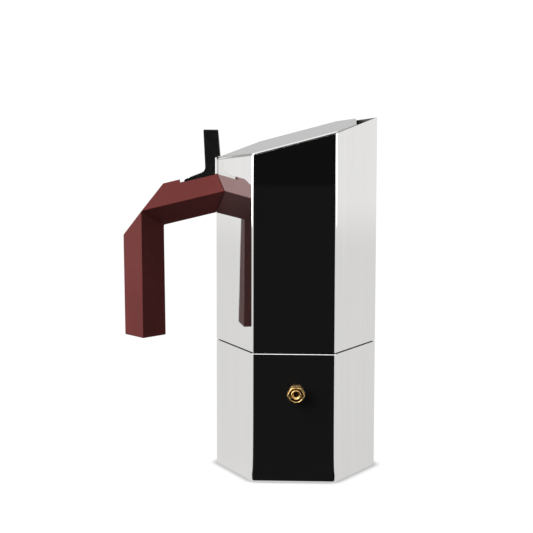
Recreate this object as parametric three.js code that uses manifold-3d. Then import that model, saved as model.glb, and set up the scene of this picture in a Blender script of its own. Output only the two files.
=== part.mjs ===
// A hexagonal stove-top moka pot: boiler, funnel, seal, collector, slanted lid and faceted handle.
// Millimetres, +Z up, +X towards the spout, -Y towards the safety valve.
// The origin is the centre of the boiler's underside.

import * as THREE from 'three';
import { mergeVertices } from 'three/addons/utils/BufferGeometryUtils.js';
import Module from 'manifold-3d';

const wasm = await Module();
wasm.setup();

// ---------------------------------------------------------------- driving dimensions

// body: both vessels share one hexagon, with a corner at the spout and one at the handle
const hexSide = 50;
const edgeRadius = 1;
const edgeChamfer = 0.5;

// clearances
const seatGap = 0.3; // between a piece and the piece that it rests on
const pressGap = 0.15; // round a pin or a shank that is pressed or screwed home
const runningGap = 0.1; // round the pin that the lid turns on
const slideGap = 0.6; // round the funnel in the boiler's neck
const threadGap = 0.5; // round the neck inside the collector's skirt
const jointGap = 0.7; // the open line between boiler and collector

// boiler
const boilerHeight = 79.4;
const boilerWall = 3.2;
const boilerFloor = 3.5;
const boilerInnerCorner = 6;
const shoulderThickness = 4;
const neckRadius = 37;
const neckWall = 3.4;
const neckHeight = 12;

// funnel: cup, cone and stem spun from one sheet, and the sieve lying in it
const funnelSheet = 0.9;
const flangeMargin = 0.8; // of the neck left outside the funnel's flange
const cupDepth = 24.6;
const ledgeWidth = 4.1; // carries the sieve
const coneHeight = 10;
const stemRadius = 4.5;
const stemClearance = 3.5; // from the stem's end to the boiler's floor
const sieveThickness = 0.8;
const sieveHoleRadius = 0.8;
const sieveHolePitch = 6;

// seal under the collector: a rubber ring and the filter plate that it holds
const gasketWidth = 8.7;
const gasketThickness = 3.5;
const gasketRounding = 0.5;
const filterLift = 0.7; // from the gasket's lower face up to the plate
const filterThickness = 0.8;
const filterHoleRadius = 0.8;
const filterHolePitch = 5.6;

// collector
const collectorHeight = 126; // from its lower edge to the slanted rim, on the axis
const collectorWall = 3;
const collectorFloor = 3.3;
const collectorInnerCorner = 2.5;
const rimWall = 0.8; // the wall thins to a pouring edge
const rimCorner = 0.6;
const rimFlareDepth = 5;
const skirtWall = 3;
const rimSlope = THREE.MathUtils.degToRad(15.1);

// riser: the column that brings the coffee up, and its hood
const riserHeight = 65; // above the collector's floor
const riserBore = 4.2;
const riserTopWall = 2;
const riserBaseWall = 5.3;
const riserFootWall = 3.5;
const riserFootFlare = 1.5;
const riserFlareHeight = 6;
const riserFlangeWidth = 2.5;
const riserFlangeThickness = 1.2;
const riserFlangeSlope = 1.6;
const riserLand = 9; // straight at the riser's end, in the hood
const hoodWall = 1.5;
const hoodOverlap = 7;
const hoodRise = 7; // from the riser's end to the hood's ceiling
const hoodDome = 4;
const portWidth = 6;
const portHeight = 5;

// lid
const lidThickness = 1;
const spoutLength = 13; // left open by the lid, from its cut edge to the spout's corner
const plugDepth = 2.2;
const plugWall = 2;
const plugGap = 0.4;
const plugSetback = 2.6; // keeps the plug clear of the rear corner that it swings towards

// handle: a bar of rhombic section, mitred at the elbow, with its outer corner cut off through the ridge
const elbowReach = 45.4; // from the body's corner
const armDrop = 6.5; // from the rim's rear corner to the arm's upper edge
const armSlope = THREE.MathUtils.degToRad(14);
const gripLean = THREE.MathUtils.degToRad(0.55);
const gripLength = 79.6; // below the elbow
const barThickness = 25.6;
const barDepth = 21.6;
const gripEndDepth = 25.2; // the grip's section deepens towards its end

// tang: the collector's tongue inside the handle, and the two pins through it
const tangLength = 20;
const tangHeight = 9;
const tangThickness = 4.4;
const tangDrop = 3; // below the middle of the arm
const tangFirstPin = 6;
const tangPinSpacing = 8;
const handlePinRadius = 1.5;
const handlePinFront = 6; // reach from the middle plane
const handlePinBack = 6.8;

// lid lever: a flat blade that carries the lid and turns on a pin in the handle's slot
const leverThickness = 3;
const leverRise = 17.5; // above the lid's rear corner
const leverClearance = 0.2; // behind the body's corner
const leverWidth = 6.2; // where it stands on the arm
const leverTopWidth = 9.2;
const leverTopReach = 1.6; // of its top, forward of the body's corner
const leverNose = 3.2; // over the lid
const leverFillet = 3;
const leverCorner = 0.6;
const footDrop = 0.5; // from the arm's upper edge to the foot's tip
const footRise = 1.1; // from the arm's upper edge to the foot's top, at the upright
const bladeLift = 1; // from the slot's floor to the blade's front end
const hingeReach = 17.4; // from the body's corner
const hingeDepth = 4.8; // below the arm's upper edge
const hingePinRadius = 1.1;
const hingePinReach = 2.7; // to both sides of the middle plane
const knuckleRadius = 2.4;
const knuckleGap = 1; // under the knuckle
const slotGap = 0.3; // to both sides of the blade
const slotTail = 2.6; // open behind the foot, for its swing

// the lid's upright tab inside the lever, and the two pins through it
const tabThickness = 1;
const tabGap = 0.25; // to both sides of the tab
const tabWidth = 5;
const tabFrontSetback = 0.4; // from the body's corner forward to the tab's front
const tabRootWidth = 1.2; // of the tab where it stands on the lid
const tabLift = 3.5; // from the lid to the part of the tab that is inside the upright
const tabMargin = 3; // of the lever left above the tab
const leverPinInset = 2.8; // from the tab's lower and upper ends
const leverPinRadius = 0.9;
const leverPinSkin = 0.6; // of the lever left in front of the pins

// safety valve, screwed into the front face
const valveDrop = 24.4; // from the boiler's shoulder
const valveOffset = 1.6; // from the middle of the face towards the spout
const valveAcrossFlats = 9.4;
const valveHeadHeight = 4.8;
const valveHeadChamfer = 0.5;
const valveHeadCorner = 0.2;
const valveShankRadius = 4;
const valveShankProud = 0.5;
const valveBossWall = 3.35;
const valveBossDepth = 4.5; // inside the boiler's wall
const valveWellRadius = 4;
const valveWellDepth = 2.6;
const valveBore = 2.6;
const valveSeatThickness = 1.6;
const valveSeatRadius = 1.3;
const capRadius = 3.25;
const capHeight = 2.4;
const capHole = 1.15;
const capBevel = 0.9;
const capShank = 2;
const plugRadius = 2.2;
const plugThickness = 0.8;
const plugCone = 0.78; // height of the cone that closes the seat
const plugTipRadius = 0.9;
const plugTipLength = 0.8;
const spigotRadius = 1.2;
const spigotLength = 1.8;
const springWire = 0.5;
const springTurns = 4;

const roundSegments = 48;
const smallSegments = 24;

// ---------------------------------------------------------------- sizes that follow

const apothem = hexSide * Math.cos(Math.PI / 6);
const innerApothem = apothem - collectorWall;
const neckTop = boilerHeight + neckHeight;
const neckBore = neckRadius - neckWall;
const flangeBottom = neckTop + seatGap;
const flangeTop = flangeBottom + funnelSheet;
const skirtBore = neckRadius + threadGap;
const gasketRadius = skirtBore - seatGap;
const gasketBore = gasketRadius - gasketWidth;
const gasketBottom = flangeTop + seatGap;
const gasketTop = gasketBottom + gasketThickness;
const ceiling = gasketTop + seatGap;
const floorTop = ceiling + collectorFloor;
const collectorBottom = boilerHeight + jointGap;
const rimHeight = collectorBottom + collectorHeight;
const lidBottom = rimHeight + seatGap;
const lidTop = lidBottom + lidThickness;
const high = 2 * rimHeight; // taller than anything on the pot

// Heights of the sloping lines over the middle plane, by distance from the axis.
const alongRim = (x) => x * Math.tan(rimSlope);
const lidTopAt = (x) => lidTop + alongRim(x);
const armEdgeAt = (x) => rimHeight + alongRim(-hexSide) - armDrop + (x + hexSide) * Math.tan(armSlope);
const armMiddleAt = (x) => armEdgeAt(x) - barThickness / 2 / Math.cos(armSlope);

const elbowX = -hexSide - elbowReach;
const elbowZ = armMiddleAt(elbowX);
const hingeX = -hexSide - hingeReach;
const hingeZ = armEdgeAt(hingeX) - hingeDepth;
const slotDepth = hingeDepth + knuckleRadius + knuckleGap;
const slotWidth = leverThickness + 2 * slotGap;
const slotEnd = hingeX - knuckleRadius - slotTail;
const spoutCut = hexSide - spoutLength;

// ---------------------------------------------------------------- solids and surfaces

function toSolid(geometry) {
  const bare = geometry.clone();
  bare.deleteAttribute('normal');
  bare.deleteAttribute('uv');
  const merged = mergeVertices(bare, 1e-5);
  const corners = [...merged.index.array];
  const triVerts = [];
  for (let i = 0; i < corners.length; i += 3) {
    const [a, b, c] = corners.slice(i, i + 3);
    if (a !== b && b !== c && c !== a) triVerts.push(a, b, c);
  }
  const mesh = new wasm.Mesh({
    numProp: 3,
    vertProperties: new Float32Array(merged.attributes.position.array),
    triVerts: new Uint32Array(triVerts),
  });
  return new wasm.Manifold(mesh);
}

function toGeometry(solid) {
  const mesh = solid.getMesh();
  const geometry = new THREE.BufferGeometry();
  geometry.setAttribute('position', new THREE.BufferAttribute(new Float32Array(mesh.vertProperties), 3));
  geometry.setIndex(new THREE.BufferAttribute(new Uint32Array(mesh.triVerts), 1));
  const flat = geometry.toNonIndexed();
  flat.computeVertexNormals();
  return flat;
}

function combined(geometries, join) {
  return toGeometry(geometries.map(toSolid).reduce(join));
}

const addAll = (...geometries) => combined(geometries, (a, b) => a.add(b));
const cutAll = (...geometries) => combined(geometries, (a, b) => a.subtract(b));
const common = (...geometries) => combined(geometries, (a, b) => a.intersect(b));

function polyhedron(points, triangles) {
  const geometry = new THREE.BufferGeometry().setFromPoints(points);
  geometry.setIndex(triangles.flat());
  return geometry;
}

// A profile of [radius, height] pairs turned about +Z.
function turned(profile, segments = roundSegments) {
  const points = profile.map(([r, z]) => new THREE.Vector2(r, z));
  const closed = points[0].x > 0 || points.at(-1).x > 0;
  if (closed) points.push(points[0].clone());
  return new THREE.LatheGeometry(points, segments).rotateX(Math.PI / 2);
}

function rod(radius, bottom, top, segments = roundSegments) {
  return turned([[0, bottom], [radius, bottom], [radius, top], [0, top]], segments);
}

// A pin along Y, from its front end to its back end.
function crossPin(radius, x, z, front, back) {
  return rod(radius, front, back, smallSegments).rotateX(-Math.PI / 2).translate(x, 0, z);
}

function block(x0, x1, y0, y1, z0, z1) {
  return new THREE.BoxGeometry(x1 - x0, y1 - y0, z1 - z0)
    .translate((x0 + x1) / 2, (y0 + y1) / 2, (z0 + z1) / 2);
}

// An outline in the XZ plane, given a thickness along Y about the pot's middle plane.
function blade(outline, thickness) {
  return new THREE.ExtrudeGeometry(outline, { depth: thickness, bevelEnabled: false, curveSegments: 8 })
    .rotateX(Math.PI / 2)
    .translate(0, thickness / 2, 0);
}

// Takes an outline round a corner, leaving the straight sides at a given distance from it.
function roundCorner(outline, before, corner, after, distance) {
  const start = before.clone().sub(corner).setLength(distance).add(corner);
  const end = after.clone().sub(corner).setLength(distance).add(corner);
  return outline.lineTo(start.x, start.y).quadraticCurveTo(corner.x, corner.y, end.x, end.y);
}

// A hexagon with rounded corners, one of them on +X.
function hexRing(ringApothem, corner, z, steps = 4) {
  const reach = (ringApothem - corner) / Math.cos(Math.PI / 6);
  const points = [];
  for (let side = 0; side < 6; side += 1) {
    const middle = (side * Math.PI) / 3;
    for (let i = 0; i <= steps; i += 1) {
      const angle = middle + (i / steps - 0.5) * (Math.PI / 3);
      const x = reach * Math.cos(middle) + corner * Math.cos(angle);
      const y = reach * Math.sin(middle) + corner * Math.sin(angle);
      points.push(new THREE.Vector3(x, y, z));
    }
  }
  return points;
}

// A solid through levels of [apothem, corner radius, height], closed by a flat face at each end.
function hexBody(levels) {
  const rings = levels.map(([a, corner, z]) => hexRing(a, corner, z));
  const count = rings[0].length;
  const points = rings.flat();
  const triangles = [];
  for (let level = 0; level + 1 < rings.length; level += 1) {
    for (let i = 0; i < count; i += 1) {
      const a = level * count + i;
      const b = level * count + ((i + 1) % count);
      triangles.push([a, b, b + count], [a, b + count, a + count]);
    }
  }
  const last = points.length - count;
  for (let i = 1; i + 1 < count; i += 1) {
    triangles.push([0, i + 1, i], [last, last + i, last + i + 1]);
  }
  return polyhedron(points, triangles);
}

const hexPrism = (a, corner, bottom, top) => hexBody([[a, corner, bottom], [a, corner, top]]);

// The space between two planes that slope up to the spout, given by their heights on the axis.
function slantedSlab(bottom, top) {
  const reach = 3 * hexSide;
  const rise = alongRim(reach);
  const section = [[-reach, bottom - rise], [reach, bottom + rise], [reach, top + rise], [-reach, top - rise]];
  const points = [-reach, reach].flatMap((y) => section.map(([x, z]) => new THREE.Vector3(x, y, z)));
  return polyhedron(points, [
    [0, 1, 2], [0, 2, 3], [4, 6, 5], [4, 7, 6],
    [0, 5, 1], [0, 4, 5], [1, 6, 2], [1, 5, 6],
    [2, 7, 3], [2, 6, 7], [3, 4, 0], [3, 7, 4],
  ]);
}

// Round holes on a triangular grid, as far out as they keep clear of the plate's edge.
function sieveHoles(plateRadius, holeRadius, pitch, bottom, top) {
  const holes = [];
  const reach = Math.ceil(plateRadius / pitch) + 1;
  for (let row = -reach; row <= reach; row += 1) {
    for (let column = -reach; column <= reach; column += 1) {
      const x = (column + row / 2) * pitch;
      const y = row * pitch * Math.sin(Math.PI / 3);
      if (Math.hypot(x, y) + holeRadius + pitch / 3 < plateRadius) {
        holes.push(toSolid(rod(holeRadius, bottom - 1, top + 1, 6).translate(x, y, 0)));
      }
    }
  }
  return holes.reduce((sum, hole) => sum.add(hole));
}

function pierced(plate, holes) {
  return toGeometry(toSolid(plate).subtract(holes));
}

// ---------------------------------------------------------------- boiler

function boiler() {
  const shell = hexBody([
    [apothem - edgeChamfer, edgeRadius, 0],
    [apothem, edgeRadius, edgeChamfer],
    [apothem, edgeRadius, boilerHeight - edgeChamfer],
    [apothem - edgeChamfer, edgeRadius, boilerHeight],
  ]);
  const roof = boilerHeight - shoulderThickness;
  const chamber = hexPrism(apothem - boilerWall, boilerInnerCorner, boilerFloor, roof);
  const neck = turned([
    [0, roof],
    [neckRadius, roof],
    [neckRadius, neckTop - edgeChamfer],
    [neckRadius - edgeChamfer, neckTop],
    [0, neckTop],
  ]);
  const bore = rod(neckBore, roof - 1, neckTop + 1);
  const holeRadius = valveShankRadius + pressGap;
  const bossRadius = holeRadius + valveBossWall;
  const boss = inValveFrame(rod(bossRadius, -boilerWall - valveBossDepth, -boilerWall / 2, smallSegments));
  const valveHole = inValveFrame(rod(holeRadius, valveShankEnd - 1, 1, smallSegments));
  return cutAll(addAll(cutAll(shell, chamber), neck, boss), bore, valveHole);
}

// ---------------------------------------------------------------- safety valve
// Its pieces are made about +Z with the boiler's front face at zero, then turned to point out of -Y.

const valveZ = boilerHeight - valveDrop;
const valveHeadTop = pressGap + valveHeadHeight;
const valveWellFloor = valveHeadTop - valveWellDepth;
const valveShankEnd = -boilerWall - valveBossDepth - valveShankProud;
const valveSeatTop = valveShankEnd + valveSeatThickness;
const coneBottom = valveSeatTop + seatGap;
const plugBack = coneBottom + plugCone + plugThickness;
const capBottom = valveWellFloor + seatGap;

function inValveFrame(geometry) {
  return geometry.rotateX(Math.PI / 2).translate(valveOffset, -apothem, valveZ);
}

function valveBody() {
  const half = valveAcrossFlats / 2;
  const head = hexBody([
    [half, valveHeadCorner, pressGap],
    [half, valveHeadCorner, valveHeadTop - valveHeadChamfer],
    [half - valveHeadChamfer, valveHeadCorner, valveHeadTop],
  ]);
  const shank = rod(valveShankRadius, valveShankEnd, pressGap + 1, smallSegments);
  const well = rod(valveWellRadius, valveWellFloor, valveHeadTop + 1, smallSegments);
  const bore = rod(valveBore, valveSeatTop, valveHeadTop, smallSegments);
  const seat = rod(valveSeatRadius, valveShankEnd - 1, valveSeatTop + 1, smallSegments);
  return inValveFrame(cutAll(addAll(head, shank), well, bore, seat));
}

function valveCap() {
  const top = capBottom + capHeight;
  const rim = capBevel / 3;
  const profile = [
    [capHole, capBottom - capShank],
    [valveBore - pressGap, capBottom - capShank],
    [valveBore - pressGap, capBottom],
    [capRadius, capBottom],
    [capRadius, top - rim],
    [capRadius - rim, top],
    [capHole + capBevel, top],
    [capHole, top - capBevel],
  ];
  return inValveFrame(turned(profile, smallSegments));
}

// The plug's cone closes the seat and its spigot centres the spring.
function valvePlug() {
  const profile = [
    [0, coneBottom - plugTipLength],
    [plugTipRadius, coneBottom - plugTipLength],
    [plugTipRadius, coneBottom],
    [plugRadius, coneBottom + plugCone],
    [plugRadius, plugBack],
    [spigotRadius, plugBack],
    [spigotRadius, plugBack + spigotLength],
    [0, plugBack + spigotLength],
  ];
  return inValveFrame(turned(profile, smallSegments));
}

class Helix extends THREE.Curve {
  constructor(radius, bottom, top, turns) {
    super();
    Object.assign(this, { radius, bottom, top, turns });
  }

  getPoint(t, target = new THREE.Vector3()) {
    const angle = 2 * Math.PI * this.turns * t;
    const z = THREE.MathUtils.lerp(this.bottom, this.top, t);
    return target.set(this.radius * Math.cos(angle), this.radius * Math.sin(angle), z);
  }
}

function valveSpring() {
  const wire = springWire / 2;
  const bottom = plugBack + pressGap + wire;
  const top = capBottom - capShank - pressGap - wire;
  const path = new Helix((spigotRadius + valveBore) / 2, bottom, top, springTurns);
  const section = new THREE.Shape().absarc(0, 0, wire, 0, 2 * Math.PI);
  const steps = 12 * springTurns;
  return inValveFrame(new THREE.ExtrudeGeometry(section, { extrudePath: path, steps, curveSegments: 3 }));
}

// ---------------------------------------------------------------- funnel

const cupRadius = neckBore - slideGap;
const cupBore = cupRadius - funnelSheet;
const cupBottom = flangeTop - cupDepth;
const ledge = cupBottom + funnelSheet;
const coneRadius = cupBore - ledgeWidth;

function funnel() {
  const coneEnd = cupBottom - coneHeight;
  const stemEnd = boilerFloor + stemClearance;
  const flangeRadius = neckRadius - flangeMargin;
  return turned([
    [stemRadius - funnelSheet, stemEnd],
    [stemRadius, stemEnd],
    [stemRadius, coneEnd],
    [coneRadius, cupBottom],
    [cupRadius, cupBottom],
    [cupRadius, flangeBottom],
    [flangeRadius, flangeBottom],
    [flangeRadius, flangeTop],
    [cupBore, flangeTop],
    [cupBore, ledge],
    [coneRadius - funnelSheet, ledge],
    [stemRadius - funnelSheet, coneEnd + funnelSheet],
  ]);
}

function funnelSieve() {
  const bottom = ledge + seatGap;
  const top = bottom + sieveThickness;
  const disc = rod(cupBore - seatGap, bottom, top);
  return pierced(disc, sieveHoles(coneRadius, sieveHoleRadius, sieveHolePitch, bottom, top));
}

// ---------------------------------------------------------------- seal

function gasket() {
  const r = gasketRounding;
  return turned([
    [gasketBore + r, gasketBottom],
    [gasketRadius - r, gasketBottom],
    [gasketRadius, gasketBottom + r],
    [gasketRadius, gasketTop - r],
    [gasketRadius - r, gasketTop],
    [gasketBore + r, gasketTop],
    [gasketBore, gasketTop - r],
    [gasketBore, gasketBottom + r],
  ]);
}

// A dished disc whose upturned rim keeps a space for the coffee under the collector's floor.
function filterPlate() {
  const radius = gasketBore - seatGap;
  const inside = radius - filterThickness;
  const bottom = gasketBottom + filterLift;
  const top = bottom + filterThickness;
  const disc = turned([
    [0, bottom],
    [radius, bottom],
    [radius, gasketTop],
    [inside, gasketTop],
    [inside, top],
    [0, top],
  ]);
  return pierced(disc, sieveHoles(inside, filterHoleRadius, filterHolePitch, bottom, top));
}

// ---------------------------------------------------------------- collector

// The tang lies below the middle of the arm and follows its slope.
function alongArm(geometry) {
  const z = armMiddleAt(-hexSide) - tangDrop / Math.cos(armSlope);
  return geometry.rotateY(-armSlope).translate(-hexSide, 0, z);
}

function tangPins(radius, front, back) {
  return [tangFirstPin, tangFirstPin + tangPinSpacing].map((along) => {
    const x = -hexSide - along * Math.cos(armSlope);
    return crossPin(radius, x, armMiddleAt(x) - tangDrop / Math.cos(armSlope), front, back);
  });
}

function collector() {
  const outside = hexBody([
    [apothem - edgeChamfer / 2, edgeRadius, collectorBottom],
    [apothem, edgeRadius, collectorBottom + edgeChamfer / 2],
    [apothem, edgeRadius, high],
  ]);
  const cup = hexPrism(innerApothem, collectorInnerCorner, floorTop, high + 1);
  const flare = hexBody([
    [innerApothem, collectorInnerCorner, rimHeight - rimFlareDepth],
    [apothem - rimWall, rimCorner, rimHeight],
    [apothem - rimWall, rimCorner, rimHeight + 1],
  ]).applyMatrix4(new THREE.Matrix4().makeShear(0, Math.tan(rimSlope), 0, 0, 0, 0));
  const underside = hexPrism(innerApothem, collectorInnerCorner, collectorBottom - 1, ceiling);
  const skirt = common(rod(skirtBore + skirtWall, collectorBottom + edgeChamfer, ceiling + 1), outside);
  const skirtHole = rod(skirtBore, collectorBottom - 1, ceiling);
  const riserHole = rod(riserFootRadius + pressGap, ceiling - 1, floorTop + 1, smallSegments);
  const shell = common(cutAll(outside, cup, flare, underside), slantedSlab(-high, rimHeight));
  const y = tangThickness / 2;
  const z = tangHeight / 2;
  const tang = alongArm(block(-tangLength, collectorWall / 2, -y, y, -z, z));
  const pinHoles = tangPins(handlePinRadius + pressGap, -tangThickness, tangThickness);
  return cutAll(addAll(shell, skirt, tang), skirtHole, riserHole, ...pinHoles);
}

// ---------------------------------------------------------------- riser

const riserTop = floorTop + riserHeight;
const riserFootRadius = riserBore + riserFootWall;
const riserTopRadius = riserBore + riserTopWall;

function riser() {
  const baseRadius = riserBore + riserBaseWall;
  const flangeRadius = baseRadius + riserFlangeWidth;
  const flangeBase = floorTop + seatGap;
  const flangeEdge = flangeBase + riserFlangeThickness;
  return turned([
    [riserBore + riserFootFlare, ceiling],
    [riserFootRadius, ceiling],
    [riserFootRadius, flangeBase],
    [flangeRadius, flangeBase],
    [flangeRadius, flangeEdge],
    [baseRadius, flangeEdge + riserFlangeSlope],
    [riserTopRadius, riserTop - riserLand],
    [riserTopRadius, riserTop],
    [riserBore, riserTop],
    [riserBore, ceiling + riserFlareHeight],
  ], 32);
}

// The hood turns the coffee sideways through two ports.
function riserHood() {
  const inner = riserTopRadius + seatGap;
  const outer = inner + hoodWall;
  const roof = riserTop + hoodRise;
  const angles = [1, 2, 3].map((step) => (step * Math.PI) / 8);
  const dome = angles.map((angle) => [outer * Math.cos(angle), roof + hoodDome * Math.sin(angle)]);
  const hood = turned([
    [0, roof],
    [inner, roof],
    [inner, riserTop - hoodOverlap],
    [outer, riserTop - hoodOverlap],
    [outer, roof],
    ...dome,
    [0, roof + hoodDome],
  ], 32);
  const sill = riserTop + hoodWall;
  return cutAll(hood, block(-portWidth / 2, portWidth / 2, -2 * outer, 2 * outer, sill, sill + portHeight));
}

// ---------------------------------------------------------------- handle

// Where a line through p meets a line through q.
function meet(p, alongP, q, alongQ) {
  const distance = q.clone().sub(p).cross(alongQ) / alongP.cross(alongQ);
  return p.clone().addScaledVector(alongP, distance);
}

// The corners of the bar's silhouette in the XZ plane, and the ends of its two ridges.
function handleOutline() {
  const elbow = new THREE.Vector2(elbowX, elbowZ);
  const arm = new THREE.Vector2(Math.cos(armSlope), Math.sin(armSlope));
  const grip = new THREE.Vector2(Math.sin(gripLean), -Math.cos(gripLean));
  const half = barThickness / 2;
  const above = elbow.clone().add(new THREE.Vector2(-arm.y, arm.x).multiplyScalar(half));
  const below = elbow.clone().add(new THREE.Vector2(arm.y, -arm.x).multiplyScalar(half));
  const outer = elbow.clone().add(new THREE.Vector2(grip.y, -grip.x).multiplyScalar(half));
  const inner = elbow.clone().add(new THREE.Vector2(-grip.y, grip.x).multiplyScalar(half));
  const cut = arm.clone().sub(grip);
  const level = new THREE.Vector2(1, 0);
  const upright = new THREE.Vector2(0, 1);
  const insideBody = new THREE.Vector2(-hexSide / 2, 0);
  const gripEnd = new THREE.Vector2(0, elbowZ - gripLength);
  return {
    armTop: meet(above, arm, insideBody, upright),
    armMiddle: meet(elbow, arm, insideBody, upright),
    armBottom: meet(below, arm, insideBody, upright),
    cutTop: meet(above, arm, elbow, cut),
    cutBottom: meet(outer, grip, elbow, cut),
    elbow,
    innerCorner: meet(below, arm, inner, grip),
    gripOuter: meet(outer, grip, gripEnd, level),
    gripMiddle: meet(elbow, grip, gripEnd, level),
    gripInner: meet(inner, grip, gripEnd, level),
  };
}

function handleBar() {
  const o = handleOutline();
  const onEdge = (p) => new THREE.Vector3(p.x, 0, p.y);
  const onRidge = (p, side, depth) => new THREE.Vector3(p.x, (side * depth) / 2, p.y);
  const edges = [o.armTop, o.cutTop, o.cutBottom, o.gripOuter, o.gripInner, o.innerCorner, o.armBottom];
  const ridges = [[o.armMiddle, barDepth], [o.elbow, barDepth], [o.gripMiddle, gripEndDepth]];
  const ridgePoints = [-1, 1].flatMap((side) => ridges.map(([p, depth]) => onRidge(p, side, depth)));
  const points = [...edges.map(onEdge), ...ridgePoints];
  const front = [
    [0, 1, 8], [0, 8, 7], // upper face of the arm
    [7, 8, 5], [7, 5, 6], // lower face of the arm
    [2, 3, 9], [2, 9, 8], // outer face of the grip
    [8, 9, 4], [8, 4, 5], // inner face of the grip
    [1, 2, 8], // half of the cut-off corner
    [3, 4, 9], // half of the grip's end
    [0, 7, 6], // half of the arm's end
  ];
  const back = front.map((triangle) => triangle.map((i) => (i > 6 ? i + 3 : i)).reverse());
  return polyhedron(points, [...front, ...back]);
}

function handle() {
  const body = hexPrism(apothem + seatGap, edgeRadius, 0, high);
  const slot = blade(new THREE.Shape([
    new THREE.Vector2(slotEnd, armEdgeAt(slotEnd) - slotDepth),
    new THREE.Vector2(0, armEdgeAt(0) - slotDepth),
    new THREE.Vector2(0, high),
    new THREE.Vector2(slotEnd, high),
  ]), slotWidth);
  const y = tangThickness / 2 + seatGap;
  const z = tangHeight / 2 + seatGap;
  const pocket = alongArm(block(-tangLength - seatGap, hexSide, -y, y, -z, z));
  const pinHoles = tangPins(handlePinRadius + pressGap, -handlePinFront - seatGap, barDepth);
  const hingeHole = crossPin(hingePinRadius + pressGap, hingeX, hingeZ, -hingePinReach - seatGap, barDepth);
  return cutAll(handleBar(), body, slot, pocket, hingeHole, ...pinHoles);
}

// ---------------------------------------------------------------- lid and its lever

const leverTop = lidTopAt(-hexSide) + leverRise;
const leverNeckX = -hexSide - leverClearance;
const tabTop = leverTop - tabMargin;
const tabBottom = lidTopAt(-hexSide) + tabLift;
const tabFrontX = -hexSide + tabFrontSetback;
const tabBackX = tabFrontX - tabWidth;

function lid() {
  const plate = common(hexPrism(apothem, edgeRadius, 0, high), slantedSlab(lidBottom, lidTop));
  const behind = (x) => block(-high, x, -high, high, 0, high);
  const plugHex = (wall) => hexPrism(innerApothem - plugGap - wall, collectorInnerCorner, 0, high);
  const plugShape = (wall) => common(plugHex(wall), plugHex(wall).translate(plugSetback, 0, 0));
  const plugOutside = common(plugShape(0), behind(spoutCut - plugGap));
  const plugInside = common(plugShape(plugWall), behind(spoutCut - plugGap - plugWall));
  const plugLevels = slantedSlab(rimHeight - plugDepth, lidBottom + lidThickness / 2);
  const plug = common(cutAll(plugOutside, plugInside), plugLevels);
  const foot = lidTopAt(-hexSide) - lidThickness / 2;
  const tab = blade(new THREE.Shape([
    new THREE.Vector2(tabBackX, tabTop),
    new THREE.Vector2(tabBackX, tabBottom),
    new THREE.Vector2(tabFrontX, tabBottom),
    new THREE.Vector2(tabFrontX, foot),
    new THREE.Vector2(tabFrontX + tabRootWidth, foot),
    new THREE.Vector2(tabFrontX, tabTop),
  ]), tabThickness);
  const pinHoles = leverPins(leverPinRadius + pressGap, -tabThickness, tabThickness);
  return cutAll(addAll(common(plate, behind(spoutCut)), plug, tab), ...pinHoles);
}

function leverPins(radius, front, back) {
  const x = (tabFrontX + tabBackX) / 2;
  return [tabBottom + leverPinInset, tabTop - leverPinInset].map((z) => crossPin(radius, x, z, front, back));
}

function lever() {
  const tipX = hingeX - knuckleRadius;
  const tip = new THREE.Vector2(tipX, armEdgeAt(tipX) - footDrop);
  const heelX = leverNeckX - leverWidth;
  const heel = new THREE.Vector2(heelX, armEdgeAt(heelX) + footRise);
  const frontTop = new THREE.Vector2(-hexSide + leverTopReach, leverTop);
  const backTop = new THREE.Vector2(frontTop.x - leverTopWidth, leverTop);
  const noseX = leverNeckX + leverNose;
  const nose = new THREE.Vector2(noseX, lidTopAt(noseX) + seatGap);
  const frontEnd = new THREE.Vector2(leverNeckX, armEdgeAt(leverNeckX) - slotDepth + bladeLift);
  const fromHinge = frontEnd.clone().sub(new THREE.Vector2(hingeX, hingeZ));
  const tangent = fromHinge.angle() - Math.acos(knuckleRadius / fromHinge.length());
  const outline = new THREE.Shape()
    .moveTo(frontEnd.x, frontEnd.y)
    .lineTo(leverNeckX, lidTopAt(leverNeckX) + seatGap)
    .lineTo(nose.x, nose.y);
  roundCorner(outline, nose, frontTop, backTop, leverCorner);
  roundCorner(outline, frontTop, backTop, heel, leverCorner);
  roundCorner(outline, backTop, heel, tip, leverFillet)
    .lineTo(tip.x, tip.y)
    .lineTo(tip.x, hingeZ)
    .absarc(hingeX, hingeZ, knuckleRadius, Math.PI, 2 * Math.PI + tangent, false)
    .closePath();
  const half = leverThickness / 2;
  const pinHoles = leverPins(leverPinRadius + pressGap, -half + leverPinSkin, half + 1);
  const hingeHole = crossPin(hingePinRadius + runningGap, hingeX, hingeZ, -leverThickness, leverThickness);
  return cutAll(blade(outline, leverThickness), tabSlot(), hingeHole, ...pinHoles);
}

// The blade slides over the tab from behind, so its slot is open towards the spout and down to the lid.
function tabSlot() {
  const back = tabBackX - seatGap;
  const bottom = tabBottom - seatGap;
  return blade(new THREE.Shape([
    new THREE.Vector2(back, tabTop + seatGap),
    new THREE.Vector2(back, bottom),
    new THREE.Vector2(leverNeckX, bottom),
    new THREE.Vector2(leverNeckX, lidTopAt(leverNeckX)),
    new THREE.Vector2(0, lidTopAt(leverNeckX)),
    new THREE.Vector2(0, tabTop + seatGap),
  ]), tabThickness + 2 * tabGap);
}

// ---------------------------------------------------------------- materials

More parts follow.
